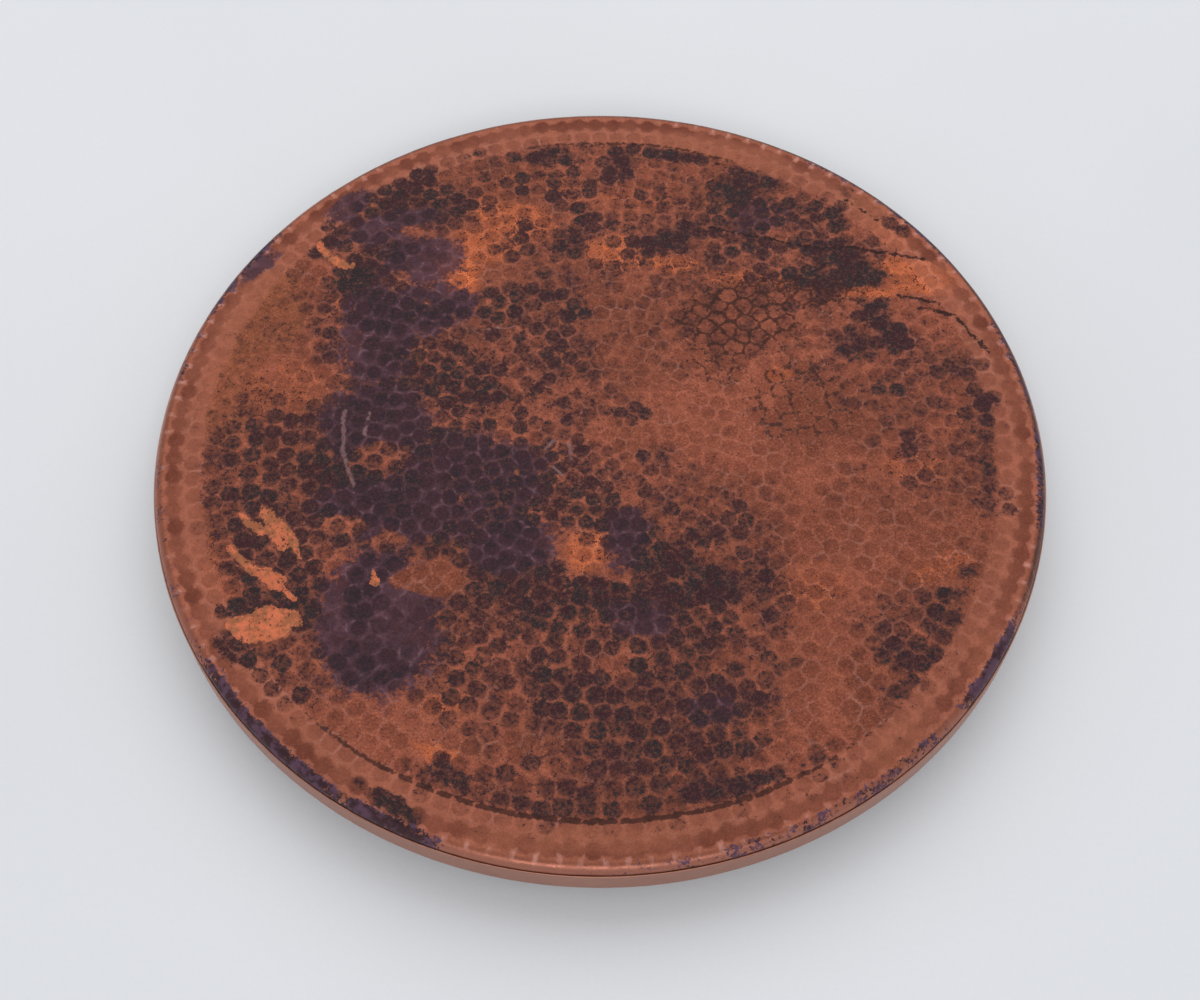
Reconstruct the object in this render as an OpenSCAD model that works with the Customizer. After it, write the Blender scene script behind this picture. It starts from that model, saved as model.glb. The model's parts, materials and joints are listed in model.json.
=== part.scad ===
// Hammered copper lazy susan: a round board clad in hammered sheet copper, its rim
// turned down over the edge, turning on a square ball-bearing swivel over a low footed base.
// Millimetres. The origin is on the table, under the middle of the turntable. +Z is up.

/* [Turntable] */
// Diameter of the turntable over its copper edge band
top_d = 457.2; // [420:0.1:500]
// Thickness of the round board inside the copper
board_t = 19; // [16:0.5:22]
// Thickness of the hammered top sheet
copper_t = 1; // [0.8:0.1:1.2]
// Outside radius of the roll where the top sheet turns down
roll_r = 5; // [4:0.5:8]
// Thickness of the plain strip around the edge
band_t = 0.8; // [0.6:0.1:1]
// How far the strip is turned in under the board
hem_w = 12; // [9:0.5:16]
// Width of the butt seam in the strip, at the back
seam_w = 0.4; // [0.2:0.1:1]
// Number of copper nails that hold the turned-in strip
nail_count = 24; // [12:1:36]

/* [Swivel bearing] */
// Side of the square swivel plates
plate_w = 152.4; // [148:0.1:160]
// Thickness of the swivel plates
plate_t = 1.2; // [1:0.1:1.4]
// Height of the whole swivel
swivel_h = 7.9; // [7.7:0.1:8.4]
// Radius of the circle that the balls run on
race_r = 55; // [54:0.5:56]
// Diameter of the bearing balls
ball_d = 4.76; // [4.6:0.01:4.8]
// Number of bearing balls
ball_count = 24; // [12:1:36]
// Distance of the plates' screw holes from the centre, along X and Y
hole_xy = 66; // [65:0.5:67]

/* [Base] */
// Diameter of the base board
base_d = 254; // [248:1:300]
// Thickness of the base board
base_t = 6.5; // [6.5:0.5:12]
// Diameter of the access hole for the upper plate's screws
access_d = 22; // [18:1:24]
// Height of the rubber feet
foot_h = 4.5; // [4.5:0.5:8]
// Diameter of the rubber feet
foot_d = 20; // [18:1:24]
// Distance of the feet from the centre
foot_at = 112; // [108:1:113]

/* [Screws] */
// Diameter of the wood screws' shanks
screw_d = 4; // [3.5:0.1:4.2]
// Diameter of the wood screws' heads
screw_head_d = 8; // [7.5:0.1:8.5]
// Height of the wood screws' heads
screw_head_h = 2.2; // [1.8:0.1:2.3]
// Length of the screws through the lower plate and the feet, under the head
short_screw_l = 7; // [6:0.5:7]
// Length of the screws through the upper plate, under the head
long_screw_l = 12; // [9:0.5:12]

/* [Hidden] */

$fn = 96;
tiny = 0.01;

// Levels, from the table up
base_top = foot_h + base_t;
swivel_mid = base_top + swivel_h / 2;
board_bottom = base_top + swivel_h;
board_top = board_bottom + board_t;
top_z = board_top + copper_t;
band_top = top_z - roll_r;
band_bottom = board_bottom - band_t;

// Radii of the turntable's layers, from the edge inwards
band_r = top_d / 2;
sheet_r = band_r - band_t;
board_fit = 0.1;
board_r = sheet_r - copper_t - board_fit;
board_roll = roll_r - copper_t - board_fit;
nail_at = band_r - 6.5;
nail_head_r = 2.2;
nail_head_h = 0.7;
nail_shank_r = 0.8;
nail_l = 9;
nail_dome_r = 4;
nail_offset = 7.5;

// Swivel, measured from the swivel's own underside
race_groove_r = ball_d / 2 + 0.05;
ridge_z = 3.1;
ridge_out_r = race_r + 6.4;
ridge_foot_r = race_r + 8.2;
lower_rim_r = race_r - 8.7;
flange_r = race_r - 11.2;
lip_r = race_r - 7;
lip_z = 0.3;
plate_corner_r = 8;
plate_hole_d = 5;
cage_t = 1;
cage_w = 7.6;
pocket_d = ball_d + 0.24;

// Base and feet
base_edge = 1.5;
access_at = hole_xy * sqrt(2);
recess_d = 10;
foot_web = 1.8;
recess_h = foot_h - foot_web;
pilot_r = screw_d / 2 - 0.6;
cross_l = 4.4;
cross_w = 0.9;
cross_depth = 1.3;
screw_tip_d = 0.4;
foot_hole_gap = 0.4;
corner_signs = [[-1, -1], [1, -1], [-1, 1], [1, 1]];

// ---------- shapes that repeat ----------

// Half section of a disc whose upper edge is rolled over
module rolled_section(r, bottom, top, roll) {
    translate([0, bottom]) square([r - roll, top - bottom]);
    translate([0, bottom]) square([r, top - roll - bottom]);
    translate([r - roll, top - roll]) circle(roll);
}

// Square with round corners, centred
module rounded_square(side, r) {
    square([side, side - 2 * r], center = true);
    square([side - 2 * r, side], center = true);
    for (s = corner_signs)
        translate(s * (side / 2 - r)) circle(r);
}

// Pan-head wood screw: the head's underside is at z = 0, the shank points down
module wood_screw(length) {
    tip_l = screw_d * 0.8;
    dome_r = screw_head_d;
    difference() {
        intersection() {
            cylinder(h = screw_head_h, d = screw_head_d);
            translate([0, 0, screw_head_h - dome_r]) sphere(dome_r);
        }
        for (turn = [0, 90])
            rotate(turn)
                translate([-cross_l / 2, -cross_w / 2, screw_head_h - cross_depth])
                    cube([cross_l, cross_w, 2 * cross_depth]);
    }
    translate([0, 0, tip_l - length]) cylinder(h = length - tip_l, d = screw_d);
    translate([0, 0, -length]) cylinder(h = tip_l, d1 = screw_tip_d, d2 = screw_d);
}

// Half section of a swivel plate's raised race, open towards the balls
module race_section(inner_r) {
    difference() {
        union() {
            polygon([
                [inner_r, ridge_z - plate_t], [inner_r, ridge_z],
                [ridge_out_r, ridge_z], [ridge_foot_r, plate_t],
                [ridge_foot_r + 1, plate_t], [ridge_foot_r + 1, 0],
                [ridge_foot_r - plate_t, 0], [ridge_out_r - plate_t, ridge_z - plate_t]
            ]);
            intersection() {
                translate([race_r, swivel_h / 2]) circle(race_groove_r + plate_t);
                translate([race_r - 5, 0]) square([10, ridge_z]);
            }
        }
        translate([race_r, swivel_h / 2]) circle(race_groove_r);
    }
}

// Square stamped plate with its race facing up and its underside at z = 0
module race_plate(inner_r) {
    difference() {
        linear_extrude(plate_t) rounded_square(plate_w, plate_corner_r);
        translate([0, 0, -tiny]) cylinder(h = plate_t + 2 * tiny, r = ridge_foot_r + 0.5);
        for (s = corner_signs)
            translate([s[0] * hole_xy, s[1] * hole_xy, -tiny])
                cylinder(h = plate_t + 2 * tiny, d = plate_hole_d);
    }
    rotate_extrude() race_section(inner_r);
}

// Round rubber foot with a recess that hides its screw
module rubber_foot(sx, sy) {
    color([0.10, 0.10, 0.10])
        translate([sx, sy] * foot_at / sqrt(2))
            difference() {
                cylinder(h = foot_h, d1 = foot_d - 2, d2 = foot_d);
                translate([0, 0, -tiny]) cylinder(h = recess_h + tiny, d = recess_d);
                cylinder(h = foot_h + tiny, d = screw_d + foot_hole_gap);
            }
}

// ---------- turntable ----------

// Hammered top sheet: flat face, rolled rim and straight skirt
module copper_top() {
    color([0.60, 0.31, 0.24])
        rotate_extrude()
            difference() {
                rolled_section(sheet_r, board_bottom, top_z, roll_r);
                translate([0, -tiny])
                    rolled_section(sheet_r - copper_t, board_bottom, board_top + tiny,
                        roll_r - copper_t);
            }
}

// Plain copper strip around the skirt, turned in under the board
module edge_band() {
    color([0.64, 0.44, 0.36])
        difference() {
            rotate_extrude() {
                translate([sheet_r, board_bottom - tiny])
                    square([band_t, band_top - board_bottom + tiny]);
                translate([band_r - hem_w, band_bottom]) square([hem_w - band_t, band_t]);
                intersection() {
                    translate([sheet_r, board_bottom]) circle(band_t);
                    translate([sheet_r, band_bottom]) square(band_t);
                }
            }
            translate([-seam_w / 2, band_r - hem_w - 1, band_bottom - 1])
                cube([seam_w, hem_w + 2, band_top - band_bottom + 2]);
        }
}

// Round board that stiffens the sheet, its top edge rounded to fit the roll
module core_board() {
    color([0.66, 0.52, 0.36])
        difference() {
            rotate_extrude()
                rolled_section(board_r, board_bottom, board_top, board_roll);
            for (s = corner_signs)
                translate([s[0] * hole_xy, s[1] * hole_xy, board_bottom - tiny])
                    cylinder(h = long_screw_l, r = pilot_r);
        }
}

// Copper nails driven up through the turned-in strip
module band_nails() {
    color([0.62, 0.38, 0.28])
        for (i = [0 : nail_count - 1])
            rotate(nail_offset + i * 360 / nail_count)
                translate([nail_at, 0, band_bottom]) {
                    rotate([180, 0, 0])
                        intersection() {
                            cylinder(h = nail_head_h, r = nail_head_r);
                            translate([0, 0, nail_head_h - nail_dome_r]) sphere(nail_dome_r);
                        }
                    cylinder(h = nail_l, r = nail_shank_r);
                }
}

// ---------- swivel bearing ----------

// Upper plate: its inner flange reaches down and curls out under the lower plate
module upper_race_plate() {
    color([0.74, 0.75, 0.76]) {
        translate([0, 0, base_top + swivel_h]) mirror([0, 0, 1]) race_plate(flange_r);
        translate([0, 0, base_top])
            rotate_extrude() {
                translate([flange_r, lip_z])
                    square([plate_t, swivel_h - ridge_z + plate_t / 2 - lip_z]);
                translate([flange_r, lip_z]) square([lip_r - flange_r, plate_t]);
            }
    }
}

// Screws up through the upper plate into the round board
module upper_plate_screws() {
    color([0.80, 0.80, 0.80])
        for (s = corner_signs)
            translate([s[0] * hole_xy, s[1] * hole_xy, board_bottom - plate_t])
                rotate([180, 0, 0]) wood_screw(long_screw_l);
}

// Flat ring with one pocket for each ball
module ball_cage() {
    color([0.70, 0.68, 0.62])
        translate([0, 0, swivel_mid - cage_t / 2])
            difference() {
                cylinder(h = cage_t, r = race_r + cage_w / 2);
                translate([0, 0, -tiny])
                    cylinder(h = cage_t + 2 * tiny, r = race_r - cage_w / 2);
                for (i = [0 : ball_count - 1])
                    rotate(i * 360 / ball_count)
                        translate([race_r, 0, -tiny])
                            cylinder(h = cage_t + 2 * tiny, d = pocket_d);
            }
}

// Bearing balls, all on one circle
module bearing_balls() {
    color([0.86, 0.87, 0.88])
        for (i = [0 : ball_count - 1])
            rotate(i * 360 / ball_count)
                translate([race_r, 0, swivel_mid]) sphere(d = ball_d);
}

// Lower plate: its inner edge is raised to clear the upper plate's curled lip
module lower_race_plate() {
    color([0.74, 0.75, 0.76])
        translate([0, 0, base_top]) race_plate(lower_rim_r);
}

// Screws down through the lower plate into the base board
module lower_plate_screws() {
    color([0.80, 0.80, 0.80])
        for (s = corner_signs)
            translate([s[0] * hole_xy, s[1] * hole_xy, base_top + plate_t])
                wood_screw(short_screw_l);
}

// ---------- base ----------

// Round board with eased edges and the access hole under the plates' screw circle
module base_board() {
    color([0.60, 0.46, 0.31])
        difference() {
            rotate_extrude()
                polygon([
                    [0, foot_h], [base_d / 2 - base_edge, foot_h],
                    [base_d / 2, foot_h + base_edge], [base_d / 2, base_top - base_edge],
                    [base_d / 2 - base_edge, base_top], [0, base_top]
                ]);
            translate([access_at, 0, foot_h - tiny])
                cylinder(h = base_t + 2 * tiny, d = access_d);
            for (s = corner_signs) {
                translate([s[0] * hole_xy, s[1] * hole_xy, base_top - short_screw_l + plate_t])
                    cylinder(h = short_screw_l, r = pilot_r);
                translate([s[0] * foot_at / sqrt(2), s[1] * foot_at / sqrt(2), foot_h - tiny])
                    cylinder(h = short_screw_l - 2, r = pilot_r);
            }
        }
}

// Front left foot
module foot_front_left() rubber_foot(-1, -1);

// Front right foot
module foot_front_right() rubber_foot(1, -1);

// Rear left foot
module foot_rear_left() rubber_foot(-1, 1);

// Rear right foot
module foot_rear_right() rubber_foot(1, 1);

// Screws up through the feet, their heads inside the recesses
module foot_screws() {
    color([0.80, 0.80, 0.80])
        for (s = corner_signs)
            translate([s[0] * foot_at / sqrt(2), s[1] * foot_at / sqrt(2), recess_h])
                rotate([180, 0, 0]) wood_screw(short_screw_l);
}

copper_top();
edge_band();
core_board();
band_nails();
upper_race_plate();
upper_plate_screws();
ball_cage();
bearing_balls();
lower_race_plate();
lower_plate_screws();
base_board();
foot_front_left();
foot_front_right();
foot_rear_left();
foot_rear_right();
foot_screws();
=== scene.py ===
import json
import math
from types import SimpleNamespace

import bpy
import numpy as np
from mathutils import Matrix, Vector
from mathutils.geometry import delaunay_2d_cdt


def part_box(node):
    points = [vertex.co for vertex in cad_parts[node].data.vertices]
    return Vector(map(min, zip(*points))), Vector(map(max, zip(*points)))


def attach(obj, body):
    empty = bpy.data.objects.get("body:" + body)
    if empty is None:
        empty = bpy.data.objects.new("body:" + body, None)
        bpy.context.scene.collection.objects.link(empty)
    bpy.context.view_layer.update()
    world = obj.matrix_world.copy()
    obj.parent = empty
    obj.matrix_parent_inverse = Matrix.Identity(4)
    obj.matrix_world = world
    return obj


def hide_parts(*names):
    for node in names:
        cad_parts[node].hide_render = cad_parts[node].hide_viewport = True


# Looks of the hammered copper lazy susan. The hammered sheet and the plain edge strip are
# meshes of their own; the board, swivel, base and feet keep their CAD shapes and get finishes.
# Metres, in the CAD frame: origin on the table under the middle, front along -Y, +Z up.

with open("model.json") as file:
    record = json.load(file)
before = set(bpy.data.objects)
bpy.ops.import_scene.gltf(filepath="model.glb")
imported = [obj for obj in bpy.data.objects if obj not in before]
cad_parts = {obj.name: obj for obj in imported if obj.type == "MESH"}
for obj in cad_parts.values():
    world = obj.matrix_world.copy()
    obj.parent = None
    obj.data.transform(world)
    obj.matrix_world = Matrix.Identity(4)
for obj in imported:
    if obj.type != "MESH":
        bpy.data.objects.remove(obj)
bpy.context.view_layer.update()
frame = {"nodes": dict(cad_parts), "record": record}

MM = 0.001
TURN = 2 * math.pi
SEED = 1848

# ---------- sizes, from the frame ----------

sheet_low, sheet_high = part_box("copper_top")
band_low, band_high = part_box("edge_band")
top_z = sheet_high.z
under_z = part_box("core_board")[1].z
sheet_r = sheet_high.x
band_r = band_high.x
roll_r = top_z - band_high.z
face_r = sheet_r - roll_r
sheet_t = top_z - under_z
band_t = band_r - sheet_r

# ---------- hammer marks ----------

# Pitches are between the middles of neighbours in a ring. Row spacings and slips are shares of it.

hammer_r = 28 * MM
rim_pitch = 10.3 * MM
rim_row_inset = 5.0 * MM
rim_row_spacing = 0.95
rim_slip = 0.04
second_pitch = 10.0 * MM
second_row_depth = 0.35
outer_pitch = 10.0 * MM
centre_pitch = 7.9 * MM
row_spacing = 0.87
slip = 0.12
even_pull = 0.3
middle_offset = (4 * MM, 3 * MM)
cap_reach = 0.46
depth_spread = 0.035 * MM
shallowest, deepest = 0.05 * MM, 0.58 * MM
wave_depth = 0.06 * MM
wave_length = 55 * MM
ridge_steps = 3
shortest_ridge = 1.2 * MM
mark_rings = ((0.36, 6), (0.72, 12))
closest_points = 0.25 * MM
border_at = 0.893

# ---------- the sheet's mesh ----------

rim_points = 720
roll_rows = 9
skirt_rows = 4
inner_roll_rows = 3
inner_rings = (0.97, 0.9, 0.7, 0.4, 0.1)
dent_depth = 0.10 * MM
dent_size = 14 * MM

# ---------- the edge strip ----------

hem_w = 12 * MM
seam_w = 0.4 * MM
strip_steps = 719
strip_rows = 7
strip_bend = 1.2 * MM
strip_bend_rows = 6
strip_soft = 0.25 * MM
strip_wave = 0.10 * MM
strip_wave_length = 30 * MM
strip_seed = 5

# ---------- light and camera ----------

floor_half = 4.0
room_strength = 0.64
overhead_place, overhead_size, overhead_power = (0, 1.15, 1.75), (2.6, 2.0), 20
front_place, front_size, front_power = (0, -2.4, 2.2), (1.8, 0.8), 27
camera_distance = 0.8577
camera_rise = math.radians(57.367)
camera_tilt = math.radians(59.398)

# ---------- where the fire colours lie ----------

# How far outlines wander and over what size of feature, in shares of the turntable's radius.

broad_wander, broad_size = 0.022, 0.11
fine_wander, fine_size = 0.008, 0.02
border_wander, border_size = 0.004, 0.08
line_half_w = 0.008

# Patches of fire colour on the top, as (x, y, half width, half height, turn in
# degrees, strength), lengths in hundredths of the turntable's radius. A strength of 1 has its
# edge on the ellipse.

SOOT = [
    # broad smoke
    (-72, -15, 16, 30, 0, 0.45), (-20, 15, 24, 24, 0, 0.45), (-12, 76, 34, 17, 0, 0.28),
    (0, -82, 44, 10, 0, 0.42), (-20, -56, 22, 20, 0, 0.45), (38, 58, 34, 22, 0, 0.36),
    (30, -42, 12, 30, 0, 0.4), (72, 6, 20, 30, 0, 0.26), (8, -18, 18, 12, 0, 0.4),
    (33, 34, 24, 18, 0, 0.22), (-62, -55, 10, 12, 0, 0.5), (66, -52, 12, 14, 0, 0.35),
    # the dark column left of the middle
    (-50, 74.5, 6, 3, 30, 1.1), (-44, 78.5, 4, 3.5, 40, 1.1), (-57, 70, 5, 3, 35, 1.0),
    (-62, 61, 6, 5, 40, 0.8), (-44, 68, 15, 7, 0, 0.85), (-67, 55.5, 4, 3.5, 0, 0.9),
    (-53, 53, 9, 6, 0, 0.85), (-56, 45, 8.5, 7, 0, 1.15), (-50, 37, 11, 8, 0, 1.0),
    (-37, 36, 9, 5, 15, 0.9), (-47, 27, 9, 8, 0, 0.85), (-47, 16, 12, 9, 0, 0.85),
    (-52, 5, 12, 8, 0, 0.95), (-33, 17, 10, 11, 0, 0.8), (-26, 13, 5, 4.5, -20, 0.95),
    (-30, 4, 10, 6, 0, 0.62),
    # black marks and stains of the upper left
    (-30, 85, 6, 1.8, 0, 0.8), (-14, 84, 9, 2.4, 0, 0.9), (-12, 75, 15, 6, 0, 0.55),
    (-7, 57, 4.5, 5.5, 0, 0.85), (-5, 65, 3, 4, 0, 0.75), (-17, 41, 12, 3, 0, 0.8),
    (-23, 36, 7, 4, 0, 0.7), (-6, 36, 3.5, 3.5, 0, 0.85), (-12, 22.5, 6, 3.5, -20, 0.75),
    (-18, 57, 10, 6, 0, 0.45), (-65, 34, 5, 6, 0, 0.55), (-64, 25, 4, 3, 0, 0.6),
    (-2, 18, 3, 2.5, 0, 0.6),
    # the dimpled field at the left
    (-77, -3, 11, 9, 0, 0.56), (-66, 2, 6, 9, 0, 0.6), (-78, -14, 5, 4, 0, 0.85),
    (-62, -7, 5, 9, 0, 0.85), (-71, -17, 10, 6, 0, 0.72), (-72, -26, 13, 6, -35, 0.8),
    (-70, -36, 11, 6, -20, 0.9), (-62, -38, 5, 5, 0, 0.85), (-74, -43, 7, 4, 0, 1.0),
    (-63, -44, 5, 5, 0, 1.0), (-76.5, -51.5, 7.5, 3, -42, 1.1), (-67, -57, 6, 3.5, 0, 0.6),
    # the dark band that runs to the middle
    (-47, -16, 15, 8, 0, 1.0), (-33, -13, 14, 11, 0, 0.85), (-20, -10, 13, 11, 0, 0.95),
    (-6, -9, 10, 9, 0, 0.58), (-24, -22, 13, 9, 0, 0.95), (-20, -33, 11, 8, 0, 0.95),
    (-12, -42, 11, 6, 0, 0.9), (-36, -6, 14, 12, 0, 1.0), (-55, -13, 10, 14, 0, 1.0),
    (-46, -3, 12, 12, 0, 0.85), (-4, -18, 10, 7, 0, 0.8), (2, -40, 12, 6, 0, 0.95),
    (-15, -34, 8, 5, 0, 0.9), (-33, -24, 11, 6, 0, 0.85), (-50, -40, 4, 11, 0, 1.1),
    (-47, -56, 10, 6, 0, 0.9), (-47, -30, 6, 5, 0, 0.85), (-22, 28, 16, 10, 0, 0.42),
    (-14, 6, 16, 8, 0, 0.46), (-28, -42, 10, 4, 0, 0.6),
    # the dark ground below the middle
    (5, -23, 8, 6, 0, 0.9), (14, -30, 8, 6, 0, 0.95), (24, -37, 8, 5, 0, 1.1),
    (10, -40, 15, 6, 0, 0.95), (24, -25, 5, 3.5, 0, 0.75), (20, -47, 14, 6, 0, 0.75),
    (2, -48, 9, 5, 0, 0.72), (13, -55, 9, 6, 0, 0.78), (-8, -45, 5, 5, 0, 0.8),
    (-17, -45, 6, 3, -20, 0.75), (-12, -56, 5, 5, 0, 0.85), (-13, -65, 4, 7, 30, 0.72),
    (0, -64, 15, 8.5, 0, 0.74), (24, -65, 6, 4.5, 0, 1.0), (33, -62, 6, 2.2, 10, 0.85),
    (10, -73.5, 20, 6, 0, 0.74), (28, -72, 5, 4, 0, 0.8), (25, -82, 13, 2.6, 14, 1.0),
    (36, -54, 4, 3, 0, 0.6), (35, -34, 5, 5, 0, 0.6), (-30, -79, 6, 2.4, -25, 1.0),
    (-20, -83, 5, 2, -20, 0.6), (-41, -86.5, 6, 3, -28, 1.1), (-46, -82, 4, 2, -30, 0.6),
    (18, -62, 12, 6, 0, 0.66), (0, -85, 24, 3.4, 0, 0.55), (42, -79, 10, 2.6, 30, 0.45),
    (36, -45, 5, 9, 0, 0.5),
    # marks right of the middle
    (12, -5, 5, 4, 0, 0.62), (20, -8, 4, 3, 0, 0.6), (7, 8, 5, 3, 0, 0.62),
    # the upper right
    (5, 85, 6, 4, 0, 0.8), (4, 79, 5, 3, 0, 0.8), (18, 85.5, 9, 2.6, -8, 1.0),
    (33, 73.5, 5, 4.5, 0, 1.05), (39, 77, 8, 3, -15, 0.9), (38, 66, 11, 7, 0, 0.85),
    (50, 68, 8, 5, 0, 0.75), (57, 66, 3.5, 5, 0, 0.9), (22, 61, 3.5, 3, 0, 1.0),
    (15, 56.5, 9, 3.6, 15, 1.05), (36, 56, 5, 4.5, 0, 0.85), (52, 56, 9, 4, 0, 0.85),
    (58, 53.5, 6, 4, -20, 1.05), (53, 47, 12, 4, 0, 0.95), (63, 48, 5, 4, 0, 1.05),
    (64, 36, 4, 5, 0, 0.95), (68, 29, 4.5, 5, 0, 1.0), (59, 25.5, 6, 5, 0, 0.9),
    (53, 18, 6, 3.5, 0, 0.55), (65, 15, 6, 3, 0, 0.75), (58, 74, 9, 1.4, -22, 0.7),
    (71, 63, 5, 3.5, -40, 0.6), (28, 51, 3, 2.5, 0, 0.8), (12, 69, 12, 5, 0, 0.42),
    (45, 40, 14, 4, 0, 0.36), (10, 64, 14, 9, 0, 0.45), (-5, 48, 14, 5, 0, 0.42),
    (30, 62, 8, 9, 0, 0.5),
    # scattered marks at the right
    (68, 6, 20, 12, 0, 0.34), (80, 22, 9, 6, 0, 0.42), (88, 11.5, 3.5, 3.5, 0, 0.95),
    (86.5, 5, 2.5, 7, 0, 0.65), (86, -7, 2.5, 5, 0, 0.65), (87, -16, 5, 5, 0, 0.6),
    (79, -33.5, 2, 2, 0, 0.9), (75, -38.5, 5, 1.6, 0, 0.85), (73, -45, 5, 4.5, 0, 0.65),
    (64, -53, 7, 4.5, 0, 0.75), (61, -62, 4, 3, 0, 0.7), (54, -46, 4, 3, 0, 0.5),
]
HAZE = [
    # smooth purple scale
    (-43, 52, 10, 8, 0, 1.0), (-50, 62, 14, 5, 20, 0.8), (-62, 68, 7, 4, 40, 0.9),
    (-52, 30, 10, 16, 5, 0.9), (-50, 5, 13, 12, 0, 0.9), (-40, 38, 12, 8, 0, 0.8),
    (-45, -17, 17, 9, 0, 0.9), (-20, -27, 10, 8, 0, 1.0), (-47, -45, 13, 18, 0, 1.1),
    (-28, -20, 12, 8, 0, 0.7), (5, -25, 6, 8, 0, 0.8), (8, -45, 8, 5, 0, 0.7),
    (38, 65, 9, 6, 0, 0.5), (-82, 50, 3, 6, -30, 0.8), (-28, -8, 18, 12, 0, 0.7),
    (24, -65, 6, 5, 0, 0.6),
]
GLOW = [
    # bright orange oxide
    (-21, 64, 12, 7, -25, 1.0), (-34, 48, 5, 8, 20, 1.2), (-27, 56, 12, 6, 0, 0.9),
    (-47, 67, 6, 3, 0, 0.6), (-60, 39, 7, 5, 30, 0.7), (-72, 12, 11, 12, 0, 0.6),
    (3, 54, 8, 5, 0, 1.0), (12, 50.5, 14, 2.5, -5, 1.0), (74, 47, 11, 6, -10, 1.1),
    (62, 42.5, 9, 2.2, 0, 1.1), (38, 46, 15, 3, -5, 0.9), (71, 60, 8, 5, -30, 0.7),
    (41, 18, 3, 3, 0, 0.8), (-3, -28.5, 6, 6, 0, 0.9), (70, -6, 10, 5, 0, 0.6),
    (75, -33, 8, 5, 0, 0.5), (45, -37, 10, 6, 0, 0.5), (20, -74, 2.5, 2, 0, 1.2),
    (-15, 75, 16, 7, 0, 0.6), (-33, -74, 5, 2.5, -20, 0.8), (-70, -4, 10, 6, 0, 0.55),
    (-32, -64, 5, 3, 0, 0.7), (5, 70, 16, 5, 0, 0.6), (-80, -32, 6, 12, 10, 0.5),
]
TAN = [
    # brown to olive ground near the rim
    (-80, 33, 10, 16, -15, 1.0), (-84, 10, 8, 16, 0, 0.8), (30, 87, 20, 4, -18, 0.8),
    (66, 69, 8, 4, -42, 0.9), (83, -53, 7, 5, 50, 0.9), (60, -73, 8, 5, 35, 0.9),
    (-10, -93, 30, 3, 0, 0.7), (28, 72, 8, 6, 0, 0.8),
]
CLEAN = [
    # smooth red ground with hardly a dark fleck
    (45, 5, 19, 17, 0, 1.1), (62, -25, 19, 11, 0, 0.9), (45, -56, 12, 12, 0, 0.8),
    (-33, -70, 22, 8, 0, 0.8), (-36, -35, 8, 4, 0, 0.8), (25, 6, 10, 10, 0, 0.7),
    (3, 0, 10, 8, 0, 0.4),
]
NET = [
    # dark lines that follow the ridges
    (33, 34, 15, 11, 0, 1.0), (45, 42, 20, 5, 0, 0.9), (46, 10, 14, 13, 0, 0.55),
    (28, 22, 8, 8, 0, 0.6),
]
BARE = [
    # scraped down to lighter metal, with crisp edges
    (-69, -45, 5, 2.4, -12, 1.2), (-75.5, -46.5, 3.6, 2.4, -20, 1.2),
    (-70.5, -48.5, 5.2, 2, 14, 1.1), (-47.5, -35.5, 1.2, 2.6, 20, 0.9), (-60, 50, 1, 1, 0, 1.2),
]
GAPS = [
    # places inside the dark ground where the copper shows
    (-48, -3.5, 5.5, 4.2, 0, 0.9), (-55, -21.5, 4.8, 2.4, 0, 1.0), (-45, -24.5, 3.2, 3.6, 0, 1.0),
    (-37, -36, 7, 3.4, 0, 1.1), (-48, 46, 3.5, 3, 0, 0.7), (30, -44, 4, 3, 0, 0.6),
    (-3, -28.5, 5.2, 5.2, 0, 1.2), (-40, 25, 4, 3.5, 0, 0.6), (-42, 60, 5, 2.5, 0, 0.4),
]

# Scrapes, pale scratches and dark cracks, as (x, y, x, y, half width), in the same measure.

SCRAPES = [
    (-78.5, -19, -73.5, -23.5, 0.9), (-74.5, -16.5, -73.5, -18, 0.4),
    (-73.5, -18.5, -69, -23.5, 1.4), (-72.5, -22.5, -68.5, -27.5, 1), (-70, -21.5, -66, -26.5, 1),
    (-66.5, -26.5, -64.5, -30, 0.6), (-80.5, -27.5, -76, -32, 0.9), (-76, -32, -69, -37, 1.2),
    (-72, -33, -68, -35, 1), (-69, -36.5, -65.5, -40, 0.6), (-67.5, 56.5, -65.5, 53.5, 1),
    (-64, 52, -61.5, 50, 1.1),
]
SCRATCHES = [
    (-58, 8, -57.2, -2, 0.6), (-57.2, -2, -54.5, -12, 0.6), (-52, 8, -52.8, 2, 0.5),
    (-12.5, -2, -10.5, 0.2, 0.5), (-7.5, -0.2, -6.2, -4.5, 0.5), (-10.5, -6.5, -7.5, -9.5, 0.4),
    (-27.5, 31, -19, 32.5, 0.3),
]
CRACKS = [
    (27, 61.5, 38, 59.2, 0.4), (38, 59.2, 47, 56, 0.4), (47, 56, 60, 55.8, 0.4),
    (60, 55.8, 70, 53.8, 0.5), (70, 53.8, 78, 52, 0.5), (70, 41.2, 75, 39.8, 0.5),
    (75, 39.8, 80, 37.8, 0.6), (75, 36.8, 84, 35.2, 0.6), (84, 34.5, 90, 25, 0.5),
    (60, 71, 68, 64, 0.3), (27, 83.5, 34, 80, 0.3),
]

# Arcs round the rim, as (middle in degrees from +X, half width in degrees, strength): the line
# where the fire stopped, stretches of the roll given painted shade, stretches of the rim marks'
# edges given a painted highlight, and violet stains on the roll.

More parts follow.
